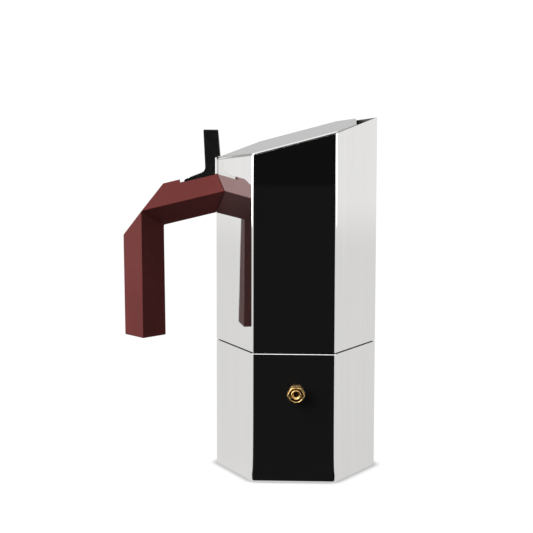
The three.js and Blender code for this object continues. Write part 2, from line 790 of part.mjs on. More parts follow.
const polishedAluminium = new THREE.MeshStandardMaterial({ color: 0xd6d5d3, roughness: 0.22, metalness: 1 });
const spunAluminium = new THREE.MeshStandardMaterial({ color: 0xc4c4c2, roughness: 0.42, metalness: 1 });
const castAluminium = new THREE.MeshStandardMaterial({ color: 0xbdbdbb, roughness: 0.5, metalness: 1 });
const brass = new THREE.MeshStandardMaterial({ color: 0xc9963c, roughness: 0.25, metalness: 1 });
const steel = new THREE.MeshStandardMaterial({ color: 0xb9bcbf, roughness: 0.3, metalness: 1 });
const siliconeRubber = new THREE.MeshStandardMaterial({ color: 0xe4e2da, roughness: 0.7, metalness: 0 });
const maroonPlastic = new THREE.MeshStandardMaterial({ color: 0x5a2523, roughness: 0.45, metalness: 0 });
const blackPlastic = new THREE.MeshStandardMaterial({ color: 0x1c1c1a, roughness: 0.4, metalness: 0 });

// ---------------------------------------------------------------- assembly

function piece(name, geometry, material) {
  const mesh = new THREE.Mesh(geometry, material.clone());
  mesh.name = name;
  return mesh;
}

function group(...members) {
  const parts = new THREE.Group();
  parts.add(...members);
  return parts;
}

const [handlePinInner, handlePinOuter] = tangPins(handlePinRadius, -handlePinFront, handlePinBack);
const leverPinFront = -leverThickness / 2 + leverPinSkin + seatGap;
const [leverPinLower, leverPinUpper] = leverPins(leverPinRadius, leverPinFront, leverThickness / 2);
const hingePin = crossPin(hingePinRadius, hingeX, hingeZ, -hingePinReach, hingePinReach);

const valve = group(
  piece('valve_body', valveBody(), brass),
  piece('valve_cap', valveCap(), brass),
  piece('valve_plug', valvePlug(), brass),
  piece('valve_spring', valveSpring(), steel),
);

const lower = group(
  piece('boiler', boiler(), polishedAluminium),
  valve,
  piece('funnel', funnel(), spunAluminium),
  piece('funnel_sieve', funnelSieve(), spunAluminium),
);

const seal = group(
  piece('gasket', gasket(), siliconeRubber),
  piece('filter_plate', filterPlate(), spunAluminium),
);

const upper = group(
  piece('collector', collector(), polishedAluminium),
  piece('riser', riser(), castAluminium),
  piece('riser_hood', riserHood(), castAluminium),
  piece('handle', handle(), maroonPlastic),
  piece('handle_pin_inner', handlePinInner, steel),
  piece('handle_pin_outer', handlePinOuter, steel),
  piece('hinge_pin', hingePin, steel),
);

const cover = group(
  piece('lid', lid(), polishedAluminium),
  piece('lid_lever', lever(), blackPlastic),
  piece('lever_pin_lower', leverPinLower, steel),
  piece('lever_pin_upper', leverPinUpper, steel),
);

export default group(lower, seal, upper, cover);
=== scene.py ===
import math

import bmesh
import bpy
import numpy as np
from mathutils import Matrix, Vector


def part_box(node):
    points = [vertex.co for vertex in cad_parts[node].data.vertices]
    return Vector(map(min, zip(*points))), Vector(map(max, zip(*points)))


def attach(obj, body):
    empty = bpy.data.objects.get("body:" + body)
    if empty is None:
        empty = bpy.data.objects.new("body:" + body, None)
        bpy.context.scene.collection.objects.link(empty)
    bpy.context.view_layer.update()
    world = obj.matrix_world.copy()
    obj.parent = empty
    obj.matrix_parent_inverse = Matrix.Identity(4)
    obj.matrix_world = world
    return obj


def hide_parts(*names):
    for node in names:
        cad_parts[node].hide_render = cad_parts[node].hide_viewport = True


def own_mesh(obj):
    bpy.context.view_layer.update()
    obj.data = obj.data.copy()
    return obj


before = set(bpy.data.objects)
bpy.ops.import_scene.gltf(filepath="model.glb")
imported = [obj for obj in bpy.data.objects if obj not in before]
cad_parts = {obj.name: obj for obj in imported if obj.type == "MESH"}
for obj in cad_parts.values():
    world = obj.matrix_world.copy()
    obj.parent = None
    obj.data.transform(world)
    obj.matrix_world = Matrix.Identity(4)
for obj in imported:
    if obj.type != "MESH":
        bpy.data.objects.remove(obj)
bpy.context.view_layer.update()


# ---------------------------------------------------------------- boiler
# The lower vessel: a hexagonal aluminium casting with walls of about 3 mm, mirror-polished outside,
# so that each face shows what stands before it, and machined inside. The upper vessel screws onto
# its round threaded neck.

mm = 0.001
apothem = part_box("boiler")[1].y / mm
hexagon = (30, 90, 150, 210, 270, 330)  # the directions that the six faces look in, in degrees
edge_radius = 2.0
chamfer = 0.3
wall = 3.2
base_thickness = 3.5
inner_corner = 6.0
fillet, fillet_middle = 1.5, 0.45
shoulder_height = 79.4
shoulder_thickness = 4.0
neck_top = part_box("boiler")[1].z / mm
neck_radius, neck_bore = 37.0, 33.6
neck_chamfer, bore_chamfer = 0.6, 0.4
thread_pitch = 3.0
neck_thread_depth = 0.7
neck_thread_start, neck_thread_end = shoulder_height + 1, neck_top - 1.2
polished_rings = 4


def outline(normals, distances, corner, arc=6, along=15, close=0.006):
    """Points round a region with flat sides, given the angle of each side's normal and its distance
    from the axis. At each corner lies an arc, whose centre is where the two sides cross when both
    are moved in by its radius. The straight part of each side is divided evenly, with one more point
    close to each arc, so that the smooth shading of the arc ends there."""
    angles = np.radians(normals)
    normal = np.stack([np.cos(angles), np.sin(angles)], -1)
    inner = np.broadcast_to(distances, angles.shape) - corner
    pairs = np.stack([normal, np.roll(normal, -1, 0)], 1)
    centres = np.linalg.solve(pairs, np.stack([inner, np.roll(inner, -1)], -1)[..., None])[..., 0]
    turns = (np.roll(angles, -1) - angles) % (2 * np.pi)
    sweep = angles[:, None] + turns[:, None] * np.linspace(0, 1, arc + 1)
    arcs = centres[:, None] + corner * np.stack([np.cos(sweep), np.sin(sweep)], -1)
    gaps = np.roll(arcs[:, 0], -1, 0) - arcs[:, -1]
    shares = np.concatenate([[close], np.arange(1, along) / along, [1 - close]])
    straights = arcs[:, -1:] + gaps[:, None] * shares[:, None]
    return np.concatenate([arcs, straights], 1).reshape(-1, 2)


def hexagon_at(inset, corner, height, slope=0.0):
    """A rounded hexagon whose sides lie inside the body's own by the inset. Its height rises along X
    by the slope."""
    ring = outline(hexagon, apothem - inset, corner)
    return np.column_stack([ring, height + slope * ring[:, 0]])


def circle_at(radius, height):
    """A circle whose points lie in the same directions from the axis as those of the hexagon: each
    is the hexagon's point over its distance from the axis, times the radius."""
    ring = outline(hexagon, apothem, edge_radius)
    ring = ring / np.linalg.norm(ring, axis=1)[:, None]
    return np.column_stack([ring * radius, np.full(len(ring), height)])


def screw_thread(radius, depth, bottom, top, step=0.25):
    """Circles up a thread. The surface leaves the radius by the depth times a cosine of the height,
    less one pitch for each turn round the axis. The cosine is cut off at both ends of its range, for
    a flat crest and root, and fades out over the first and last half pitch."""
    heights = np.arange(bottom, top + step / 2, step)
    directions = circle_at(1.0, 0.0)[:, :2]
    turns = np.arctan2(directions[:, 1], directions[:, 0]) / (2 * np.pi)
    wave = np.cos(2 * np.pi * (heights[:, None] / thread_pitch - turns))
    groove = np.clip(0.5 + 0.9 * wave, 0, 1)
    ends = np.minimum(heights - bottom, top - heights) / (thread_pitch / 2)
    radii = radius + depth * groove * np.clip(ends, 0, 1)[:, None]
    rows = np.broadcast_to(heights[:, None, None], (len(heights), len(turns), 1))
    return list(np.concatenate([directions * radii[..., None], rows], -1))


def skin(name, rings, joined=False):
    """A closed surface through rings of equally many points, with a four-sided face between each
    point and its neighbours. Flat faces close its two ends, or its last ring joins its first."""
    rings = np.array(rings)
    levels, count = rings.shape[:2]
    row = np.arange(levels if joined else levels - 1)[:, None]
    column = np.arange(count)
    here = row * count
    above = (row + 1) % levels * count
    after = (column + 1) % count
    sides = np.stack([here + column, here + after, above + after, above + column], -1)
    faces = sides.reshape(-1, 4).tolist()
    if not joined:
        faces += [column[::-1].tolist(), (column + (levels - 1) * count).tolist()]
    mesh = bpy.data.meshes.new(name)
    mesh.from_pydata(rings.reshape(-1, 3) * mm, [], faces)
    return mesh


def linear(hex_colour):
    """The linear colour, with full alpha, of an sRGB hex value."""
    srgb = np.array([int(hex_colour[i : i + 2], 16) for i in (0, 2, 4)]) / 255
    low = srgb / 12.92
    high = ((srgb + 0.055) / 1.055) ** 2.4
    return (*np.where(srgb <= 0.04045, low, high).tolist(), 1.0)


def add(material, kind, sockets=None, **settings):
    """Adds a node, with its settings, to a material or the world. Each socket gets a value, or a link
    from another node's output, which is its first one where the node itself is given."""
    node = material.node_tree.nodes.new(kind)
    for name, value in settings.items():
        setattr(node, name, value)
    for name, value in (sockets or {}).items():
        if isinstance(value, bpy.types.Node):
            value = value.outputs[0]
        if isinstance(value, bpy.types.NodeSocket):
            material.node_tree.links.new(value, node.inputs[name])
        else:
            node.inputs[name].default_value = value
    return node


def new_material(name):
    """A material with no nodes yet."""
    material = bpy.data.materials.new(name)
    material.use_nodes = True
    material.node_tree.nodes.clear()
    return material


def grain(material, width, length, direction, detail=2.0):
    """A noise stretched along one axis of the object, from the real width and length of its marks."""
    size = [width * mm] * 3
    size["XYZ".index(direction)] = length * mm
    place = add(material, "ShaderNodeTexCoord").outputs["Object"]
    stretched = add(material, "ShaderNodeMapping", {"Vector": place, "Scale": [1 / s for s in size]})
    return add(material, "ShaderNodeTexNoise", {"Vector": stretched, "Scale": 1.0, "Detail": detail})


def mottle(material, pattern, reach, share, pale, dark):
    """The colour of a mottled surface. As the pattern runs over its reach, the share of the dark
    colour runs from the first given to the second, and the rest is the pale colour."""
    (start, end), (first, last) = reach, share
    sockets = {"Value": pattern, "From Min": start, "From Max": end, "To Min": first, "To Max": last}
    amount = add(material, "ShaderNodeMapRange", sockets)
    blend = add(material, "ShaderNodeMix", {0: amount, 6: pale, 7: dark}, data_type="RGBA")
    return blend.outputs[2]


def polished_aluminium(name, grain_direction, pale, dark, smoothest):
    """Aluminium ground along one direction and then polished: a mirror with hardly any haze. The
    marks left are 0.1 mm wide, and are drawn 0.8 mm wide so that they show."""
    material = new_material(name)
    marks = grain(material, 0.8, 90, grain_direction)
    broad = grain(material, 9, 240, grain_direction, 1.0)
    metal = mottle(material, broad, (0.3, 0.7), (0.3, 0.5), linear(pale), linear(dark))
    gloss = {"Value": marks, "To Min": smoothest, "To Max": smoothest + 0.03}
    sockets = {
        "Base Color": mottle(material, marks, (0.35, 0.65), (0, 0.4), metal, linear(dark)),
        "Metallic": 0.985,
        "Roughness": add(material, "ShaderNodeMapRange", gloss),
        "Normal": add(material, "ShaderNodeBump", {"Height": marks, "Distance": 0.001 * mm}),
    }
    shader = add(material, "ShaderNodeBsdfPrincipled", sockets)
    add(material, "ShaderNodeOutputMaterial", {"Surface": shader})
    return material


def satin_aluminium(name, pattern, pale, dark, smoothest, depth):
    """Unpolished aluminium: a soft grey sheen whose marks break up the colour and the gloss."""
    material = new_material(name)
    marks = pattern(material)
    gloss = {"Value": marks, "To Min": smoothest, "To Max": smoothest + 0.12}
    sockets = {
        "Base Color": mottle(material, marks, (0.3, 0.7), (0, 1), linear(pale), linear(dark)),
        "Metallic": 0.92,
        "Roughness": add(material, "ShaderNodeMapRange", gloss),
        "Normal": add(material, "ShaderNodeBump", {"Height": marks, "Distance": depth * mm}),
    }
    shader = add(material, "ShaderNodeBsdfPrincipled", sockets)
    add(material, "ShaderNodeOutputMaterial", {"Surface": shader})
    return material


def turning_marks(material):
    """The upright marks of a coarse tool, 0.9 mm wide and 30 mm long."""
    return grain(material, 0.9, 30, "Z")


def settle(name, mesh, material, body, slot, *nodes):
    """Puts a piece into the scene on its body, in place of its CAD nodes. Edges sharper than 35
    degrees stay sharp, and the rest is shaded smoothly, with flat faces kept flat."""
    piece = bpy.data.objects.new(name, mesh)
    bpy.context.scene.collection.objects.link(piece)
    mesh.materials.append(material)
    mesh.polygons.foreach_set("use_smooth", np.ones(len(mesh.polygons), bool))
    mesh.set_sharp_from_angle(angle=math.radians(35))
    piece.modifiers.new("even faces", "WEIGHTED_NORMAL").keep_sharp = True
    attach(piece, body)
    if nodes:
        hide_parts(*nodes)
    return piece


def line_inside(piece, lining, rings, first):
    """Gives the faces from one ring onwards a second material."""
    piece.data.materials.append(lining)
    per_ring = len(rings[0])
    inside = np.arange(len(piece.data.polygons)) // per_ring >= first
    piece.data.polygons.foreach_set("material_index", inside.astype(np.int32))


body_metal = polished_aluminium("mirror-polished aluminium", "Z", "efeeed", "e3e2e1", 0.015)
bare_inside = satin_aluminium("machined aluminium", turning_marks, "c9c8c6", "b5b4b2", 0.28, 0.01)
boiler_rings = [
    hexagon_at(chamfer, edge_radius, 0),
    hexagon_at(0, edge_radius, chamfer),
    hexagon_at(0, edge_radius, shoulder_height - chamfer),
    hexagon_at(chamfer, edge_radius, shoulder_height),
    circle_at(neck_radius, shoulder_height),
    *screw_thread(neck_radius, -neck_thread_depth, neck_thread_start, neck_thread_end),
    circle_at(neck_radius, neck_top - neck_chamfer),
    circle_at(neck_radius - neck_chamfer, neck_top),
    circle_at(neck_bore + bore_chamfer, neck_top),
    circle_at(neck_bore, neck_top - bore_chamfer),
    circle_at(neck_bore, shoulder_height - shoulder_thickness),
    hexagon_at(wall, inner_corner, shoulder_height - shoulder_thickness),
    hexagon_at(wall, inner_corner, base_thickness + fillet),
    hexagon_at(wall + fillet_middle, inner_corner, base_thickness + fillet_middle),
    hexagon_at(wall + fillet, inner_corner, base_thickness),
]
boiler_mesh = skin("boiler", boiler_rings)
boiler = settle("boiler_body", boiler_mesh, body_metal, "boiler", "polished_aluminium", "boiler")
line_inside(boiler, bare_inside, boiler_rings, polished_rings)


# ---------------------------------------------------------------- safety valve
# A turned brass fitting screwed through the front face into a boss behind it: a hexagonal body, the
# cap that holds the spring, and inside them the spring and the plug that lets steam out. Profiles
# give a radius and a distance outwards from the front face.

front_face_offset = 1.6
valve_height = 55.0
across_flats = 9.4
head_bottom, head_top = 0.15, 4.95
cone_start = across_flats / 2 - 0.1
shank_radius, shank_end = 4.0, -8.2
shank_chamfer = 0.4
well_radius, well_floor = 4.0, 2.35
well_chamfer = 0.15
valve_bore = 2.6
inlet_radius, inlet_length = 1.3, 1.6
cap_radius, cap_bottom, cap_top = 3.25, 2.65, 5.05
crown = 0.68
spigot_radius, spigot_length = valve_bore - 0.15, 2.0
vent_radius, vent_cone_depth = 1.15, 1.4
coil_radius, wire_radius, coil_turns = 1.9, 0.25, 4
coil_inner_end, coil_outer_end = -4.32, 0.25
plug_profile = [(0.9, -7.1), (0.9, -6.3), (2.2, -5.52), (2.2, -4.72), (1.2, -4.72), (1.2, -2.92)]
boss_profile = [(4.15, -7.7), (7.5, -7.7), (7.5, -2.6), (4.15, -2.6)]


def eased(profile, reach, steps=3):
    """A closed profile in which each corner is a curve: it leaves both sides at the reach from the
    corner, or at 0.45 of a short side, and is the quadratic curve drawn towards the corner."""
    points = np.array(profile, float)
    t = np.linspace(0, 1, steps + 1)[None, :, None]
    ends = []
    for side in (np.roll(points, 1, 0) - points, np.roll(points, -1, 0) - points):
        length = np.linalg.norm(side, axis=1, keepdims=True)
        ends.append(points + side * np.minimum(reach / length, 0.45))
    before, after = (end[:, None] for end in ends)
    curve = (1 - t) ** 2 * before + 2 * t * (1 - t) * points[:, None] + t**2 * after
    return curve.reshape(-1, 2)


def turned(profile, segments=96):
    """Rings about the Z axis, one for each radius and height of a profile."""
    radius, height = np.array(profile, float).T[..., None]
    angle = np.arange(segments) * 2 * np.pi / segments
    return np.stack([radius * np.cos(angle), radius * np.sin(angle), height + 0 * angle], -1)


def out_of_front(rings):
    """Turns what was made round the Z axis, from the front face outwards, to point out of that face."""
    across, up, out = np.moveaxis(np.array(rings, float), -1, 0)
    return np.stack([across + front_face_offset, -apothem - out, up + valve_height], -1)


def nut_rings(segments=96, corner_cut=0.15, back_edge=0.2, front_edge=0.05, cone_fall=0.58):
    """The sides of the valve's hexagon and its coned front. Round the axis, a side stands at half
    the width across flats over the cosine of the angle from the middle of its flat, and the corners
    are cut off a little. The cone falls by 0.58 of a point's distance beyond its start."""
    angle = np.arange(segments) * 2 * np.pi / segments
    side = across_flats / 2 / np.cos((angle % (np.pi / 3)) - np.pi / 6)
    side = np.minimum(side, across_flats / 2 / np.cos(np.pi / 6) - corner_cut)
    back = np.full(segments, head_bottom)
    cone_foot = head_top - front_edge - cone_fall * np.maximum(side - cone_start, 0)
    start = np.minimum(side - front_edge, cone_start)
    front = np.full(segments, head_top)
    levels = [(side - back_edge, back), (side, back + back_edge), (side, cone_foot), (start, front)]
    across = np.stack([np.cos(angle), np.sin(angle)], -1)
    return [np.column_stack([across * radius[:, None], height]) for radius, height in levels]


def coil(segments=160, around=12):
    """Rings along the spring's helix, whose angle and height grow evenly. Each ring is a circle of
    the wire's radius, square to the path."""
    angle = np.linspace(0, 2 * np.pi * coil_turns, segments)[:, None]
    height = np.linspace(coil_inner_end, coil_outer_end, segments)
    path = np.column_stack([coil_radius * np.cos(angle), coil_radius * np.sin(angle), height])
    ahead = np.gradient(path, axis=0)
    ahead /= np.linalg.norm(ahead, axis=1, keepdims=True)
    outward = np.column_stack([np.cos(angle), np.sin(angle), 0 * angle])
    across = np.cross(ahead, outward)
    about = np.arange(around)[None, :, None] * 2 * np.pi / around
    circle = np.cos(about) * outward[:, None] + np.sin(about) * across[:, None]
    return path[:, None] + wire_radius * circle


def speckle(material, size, detail=2.0):
    """A noise that is alike in all directions, from the real size of its spots."""
    place = add(material, "ShaderNodeTexCoord").outputs["Object"]
    sockets = {"Vector": place, "Scale": 1 / (size * mm), "Detail": detail}
    return add(material, "ShaderNodeTexNoise", sockets)


def turned_brass():
    """Machined brass: a warm yellow metal, bright on its turned faces, and painted nearly black in the
    narrow hole as painted shade. The tool's marks are 0.05 mm apart and are drawn at 0.25 mm."""
    material = new_material("turned brass")
    place = add(material, "ShaderNodeTexCoord").outputs["Object"]
    centre = [-front_face_offset * mm, 0, -valve_height * mm]
    moved = add(material, "ShaderNodeMapping", {"Vector": place, "Location": centre})
    flat = add(material, "ShaderNodeVectorMath", {0: moved, 1: (1, 0, 1)}, operation="MULTIPLY")
    distance = add(material, "ShaderNodeVectorMath", {0: flat}, operation="LENGTH").outputs["Value"]
    waves = {"Vector": distance, "Scale": 1 / (0.25 * mm), "Detail": 1.0}
    cuts = add(material, "ShaderNodeTexNoise", waves)
    stain = speckle(material, 3)
    brass_tone = mottle(material, stain, (0.35, 0.7), (0, 1), linear("e8c587"), linear("c89e5c"))
    # Painted shade: near black within 1.1 mm of the axis, in the vent hole, fading out by 1.5 mm.
    painted_shade_edge = (1.1 * mm, 1.5 * mm)
    gloss = {"Value": cuts, "To Min": 0.14, "To Max": 0.24}
    sockets = {
        "Base Color": mottle(material, distance, painted_shade_edge, (1, 0), brass_tone, linear("24170d")),
        "Metallic": 1.0,
        "Roughness": add(material, "ShaderNodeMapRange", gloss),
        "Normal": add(material, "ShaderNodeBump", {"Height": cuts, "Distance": 0.006 * mm}),
    }
    shader = add(material, "ShaderNodeBsdfPrincipled", sockets)
    add(material, "ShaderNodeOutputMaterial", {"Surface": shader})
    return material


def drawn_steel():
    """Drawn steel: a cool grey metal with fine marks from the die, drawn 0.6 mm wide as an uneven
    gloss."""
    material = new_material("drawn steel")
    marks = speckle(material, 0.6, 3.0)
    gloss = {"Value": marks, "To Min": 0.22, "To Max": 0.38}
    sockets = {
        "Base Color": mottle(material, marks, (0.3, 0.7), (0, 1), linear("c8c9cb"), linear("aeb0b3")),
        "Metallic": 1.0,
        "Roughness": add(material, "ShaderNodeMapRange", gloss),
    }
    shader = add(material, "ShaderNodeBsdfPrincipled", sockets)
    add(material, "ShaderNodeOutputMaterial", {"Surface": shader})
    return material


brass = turned_brass()
shank = [
    (shank_radius - shank_chamfer, shank_end),
    (shank_radius, shank_end + shank_chamfer),
    (shank_radius, head_bottom),
]
well = [
    (well_radius + well_chamfer, head_top),
    (well_radius, head_top - well_chamfer),
    (well_radius, well_floor),
    (valve_bore, well_floor),
    (valve_bore, shank_end + inlet_length),
    (inlet_radius, shank_end + inlet_length),
    (inlet_radius, shank_end),
]
valve_mesh = skin("valve body", out_of_front([*turned(shank), *nut_rings(), *turned(well)]), True)
settle("valve_nut", valve_mesh, brass, "boiler", "brass", "valve_body")

crown_angles = np.linspace(0, np.pi, 13)
crown_across = cap_radius - crown + crown * np.cos(crown_angles)
crown_out = cap_top - crown + crown * np.sin(crown_angles)
cap_profile = [
    (vent_radius, cap_bottom - spigot_length),
    (spigot_radius, cap_bottom - spigot_length),
    (spigot_radius, cap_bottom),
    (cap_radius, cap_bottom),
    *np.column_stack([crown_across, crown_out]),
    (vent_radius, cap_top - vent_cone_depth),
]
cap_mesh = skin("valve cap", out_of_front(turned(cap_profile)), True)
settle("valve_vent_cap", cap_mesh, brass, "boiler", "brass", "valve_cap")

plug_mesh = skin("valve plug", out_of_front(turned(plug_profile, 48)))
settle("valve_steam_plug", plug_mesh, brass, "valve_plug", "brass", "valve_plug")

boss_mesh = skin("valve boss", out_of_front(turned(eased(boss_profile, 0.4))), True)
settle("valve_boss", boss_mesh, bare_inside, "boiler", "polished_aluminium")

# The plug presses the spring against the cap, down to 0.8 of its length.
steel = drawn_steel()
spring_mesh = skin("valve spring", out_of_front(coil()))
spring = settle("valve_coil", spring_mesh, steel, "boiler", "steel", "valve_spring")
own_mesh(spring)


# ---------------------------------------------------------------- funnel
# The coffee funnel, spun from aluminium sheet of 0.9 mm: a cup with a flange that rests on the
# boiler's neck, a cone, and a stem that reaches down into the water. A pierced disc lies in the cup.

funnel_profile = [  # radius and height
    (3.6, 7.0),
    (4.5, 7.0),
    (4.5, 58.0),
    (28.0, 68.0),
    (33.0, 68.0),
    (33.0, 91.7),
    (36.2, 91.7),
    (36.2, 92.6),
    (32.1, 92.6),
    (32.1, 68.9),
    (27.1, 68.9),
    (3.6, 58.9),
]


def spinning_marks(material):
    """Fine circles about the pot's axis, 0.5 mm apart: a noise of the distance from it and of the
    height."""
    place = add(material, "ShaderNodeTexCoord").outputs["Object"]
    flat = add(material, "ShaderNodeVectorMath", {0: place, 1: (1, 1, 0)}, operation="MULTIPLY")
    distance = add(material, "ShaderNodeVectorMath", {0: flat}, operation="LENGTH").outputs["Value"]
    height = add(material, "ShaderNodeSeparateXYZ", {0: place}).outputs["Z"]
    wound = add(material, "ShaderNodeCombineXYZ", {"X": distance, "Y": height})
    sockets = {"Vector": wound, "Scale": 1 / (0.5 * mm), "Detail": 2.0}
    return add(material, "ShaderNodeTexNoise", sockets)


def weld(mesh, same_place=0.002, same_plane=0.3):
    """Joins the corners of a mesh that lie within a distance in millimetres, and makes one face of
    neighbours that lie within an angle in degrees."""
    joined = bmesh.new()
    joined.from_mesh(mesh)
    bmesh.ops.remove_doubles(joined, verts=joined.verts, dist=same_place * mm)
    angle = math.radians(same_plane)
    bmesh.ops.dissolve_limit(joined, angle_limit=angle, verts=joined.verts, edges=joined.edges)
    joined.to_mesh(mesh)
    joined.free()


def merged(name, node):
    """A CAD solid's faces in a mesh of its own, joined at their corners."""
    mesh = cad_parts[node].data.copy()
    mesh.name = name
    mesh.materials.clear()
    weld(mesh)
    return mesh


spun_metal = satin_aluminium("spun aluminium", spinning_marks, "d2d1cf", "bcbbb9", 0.24, 0.012)
funnel_mesh = skin("funnel", turned(eased(funnel_profile, 0.8)), True)
settle("coffee_funnel", funnel_mesh, spun_metal, "funnel", "spun_aluminium", "funnel")
sieve_mesh = merged("sieve", "funnel_sieve")
settle("coffee_sieve", sieve_mesh, spun_metal, "funnel", "spun_aluminium", "funnel_sieve")


# ---------------------------------------------------------------- seal
# A moulded ring of white silicone rubber under the collector, and the dished filter plate that it
# holds, stamped from aluminium sheet.

ring_profile = [(28.5, 92.9), (37.2, 92.9), (37.2, 96.4), (28.5, 96.4)]


def silicone():
    """Moulded silicone rubber: off-white, soft-looking and matt, faintly cloudy. Its fine skin is
    drawn at 0.5 mm."""
    material = new_material("moulded silicone rubber")
    cloud = speckle(material, 6, 3.0)
    fine = speckle(material, 0.5)
    gloss = {"Value": fine, "To Min": 0.5, "To Max": 0.62}
    sockets = {
        "Base Color": mottle(material, cloud, (0.3, 0.7), (0, 1), linear("e6e4dc"), linear("d9d6cc")),
        "Roughness": add(material, "ShaderNodeMapRange", gloss),
        "Subsurface Weight": 0.15,
        "Subsurface Scale": 1.5 * mm,
        "Normal": add(material, "ShaderNodeBump", {"Height": fine, "Distance": 0.01 * mm}),
    }
    shader = add(material, "ShaderNodeBsdfPrincipled", sockets)
    add(material, "ShaderNodeOutputMaterial", {"Surface": shader})
    return material


ring_mesh = skin("rubber ring", turned(eased(ring_profile, 0.7, 5)), True)
settle("rubber_ring", ring_mesh, silicone(), "gasket", "silicone_rubber", "gasket")
filter_mesh = merged("filter", "filter_plate")
settle("filter_disc", filter_mesh, spun_metal, "filter_plate", "spun_aluminium", "filter_plate")


# ---------------------------------------------------------------- collector
# The upper vessel, cast and polished as the boiler is; inside it is dull and painted dark grey as
# painted shade. Its rim slopes up to the corner that pours, and a threaded skirt under its floor
# screws down onto the boiler's neck.

collector_bottom = 80.1
bottom_chamfer = 0.25
rim_height = 206.1
rim_slope = math.tan(math.radians(15.1))
rim_chamfer = 0.03
rim_thickness, rim_corner = 0.8, 0.6
tapered_depth, tapered_thickness, tapered_corner = 10, 1.0, 0.8
full_depth, collector_wall, cup_corner = 20, 3.0, 2.5
cup_floor, ceiling = 100.0, 96.7
riser_hole = 7.85
skirt_bore, skirt_outside = 37.5, 40.0
skirt_bottom, skirt_chamfer = 80.6, 0.3
skirt_thread_depth = 0.25
skirt_thread_start, skirt_thread_end = skirt_bottom + 0.8, 92.0
skirt_top = 92.5


def casting_bed(material):
    """The coarse skin that the mould leaves, with marks of 1.5 by 6 mm."""
    return grain(material, 1.5, 6, "Z")


collector_rings = [
    hexagon_at(bottom_chamfer, edge_radius, collector_bottom),
    hexagon_at(0, edge_radius, collector_bottom + bottom_chamfer),
    hexagon_at(0, edge_radius, rim_height - rim_chamfer, rim_slope),
    hexagon_at(rim_chamfer, edge_radius, rim_height, rim_slope),
    hexagon_at(rim_thickness, rim_corner, rim_height, rim_slope),
    hexagon_at(tapered_thickness, tapered_corner, rim_height - tapered_depth, rim_slope),
    hexagon_at(collector_wall, cup_corner, rim_height - full_depth, rim_slope),
    hexagon_at(collector_wall, cup_corner, cup_floor + fillet),
    hexagon_at(collector_wall + fillet_middle, cup_corner, cup_floor + fillet_middle),
    hexagon_at(collector_wall + fillet, cup_corner, cup_floor),
    circle_at(riser_hole, cup_floor),
    circle_at(riser_hole, ceiling),
    circle_at(skirt_bore, ceiling),
    circle_at(skirt_bore, skirt_top),
    *screw_thread(skirt_bore, -skirt_thread_depth, skirt_thread_start, skirt_thread_end)[::-1],
    circle_at(skirt_bore, skirt_bottom + skirt_chamfer),
    circle_at(skirt_bore + skirt_chamfer, skirt_bottom),
    circle_at(skirt_outside - skirt_chamfer, skirt_bottom),
    circle_at(skirt_outside, skirt_bottom + skirt_chamfer),
    circle_at(skirt_outside, ceiling),
    hexagon_at(collector_wall, cup_corner, ceiling),
    hexagon_at(collector_wall, cup_corner, collector_bottom),
]
collector_mesh = skin("collector", collector_rings, True)
collector = settle(
    "collector_body", collector_mesh, body_metal, "collector", "polished_aluminium", "collector"
)
# The inside is painted dark grey, as painted shade in the cup and the spout.
painted_shade_inside = satin_aluminium("cast aluminium with painted shade", casting_bed, "5f5d5a", "53514e", 0.42, 0.02)
line_inside(collector, painted_shade_inside, collector_rings, polished_rings)


# ---------------------------------------------------------------- riser
# The cast column that brings the coffee up, pressed into the collector's floor, and its hood, which
# turns the coffee sideways through two ports.

riser_profile = [  # radius and height
    (5.7, 96.7),
    (7.7, 96.7),
    (7.7, 100.3),
    (12.0, 100.3),
    (12.0, 101.5),
    (9.5, 103.1),
    (6.2, 156.0),
    (6.2, 165.0),
    (4.2, 165.0),
    (4.2, 102.7),
]


def casting_skin(material):
    """The skin of a die casting, a fine even orange peel of about 0.6 mm."""
    return speckle(material, 0.6, 3.0)


def round_edges(piece, width, segments=3, sharp=30, shortest=5):
    """Rounds the long edges of a piece, before its faces are shaded evenly. An edge counts when its
    faces turn by more than the sharp angle and it is longer than the shortest number of widths, so
    that those of holes and small curves stay as they are."""
    shape = bmesh.new()
    shape.from_mesh(piece.data)
    weight = shape.edges.layers.float.new("bevel_weight_edge")
    for edge in shape.edges:
        turns = edge.calc_face_angle(0) > math.radians(sharp)
        edge[weight] = turns and edge.calc_length() > shortest * width * mm
    shape.to_mesh(piece.data)
    shape.free()
    bevel = piece.modifiers.new("rounded edges", "BEVEL")
    bevel.width = width * mm
    bevel.segments = segments
    bevel.limit_method = "WEIGHT"
    bevel.use_clamp_overlap = False
    piece.modifiers.move(len(piece.modifiers) - 1, 0)


cast_metal = satin_aluminium("die-cast aluminium", casting_skin, "c6c5c3", "b0afad", 0.34, 0.02)
riser_mesh = skin("riser", turned(eased(riser_profile, 0.6)), True)
settle("coffee_riser", riser_mesh, cast_metal, "collector", "cast_aluminium", "riser")
hood_mesh = merged("hood", "riser_hood")
hood = settle("riser_cap", hood_mesh, cast_metal, "collector", "cast_aluminium", "riser_hood")
round_edges(hood, 0.3)


# ---------------------------------------------------------------- handle
# A moulded handle of maroon thermoplastic: a bar of rhombic section, mitred at the elbow, with the
# outer corner cut off. It fits over a tongue cast on the collector, and two steel pins hold it.

end_reach, end_shift = 0.5, 0.25
break_x, break_z, break_radius = -67.7, 178.05, 0.75
slot_side, slot_reach = 2.93, 0.1


def corners(mesh):
    """The corners of a mesh, in millimetres."""
    points = np.empty(3 * len(mesh.vertices))
    mesh.vertices.foreach_get("co", points)
    return points.reshape(-1, 3) / mm


def move_corners(mesh, points):
    """Puts the corners of a mesh at new places, in millimetres, and joins those that now meet."""
    mesh.vertices.foreach_set("co", (points * mm).ravel())
    weld(mesh)


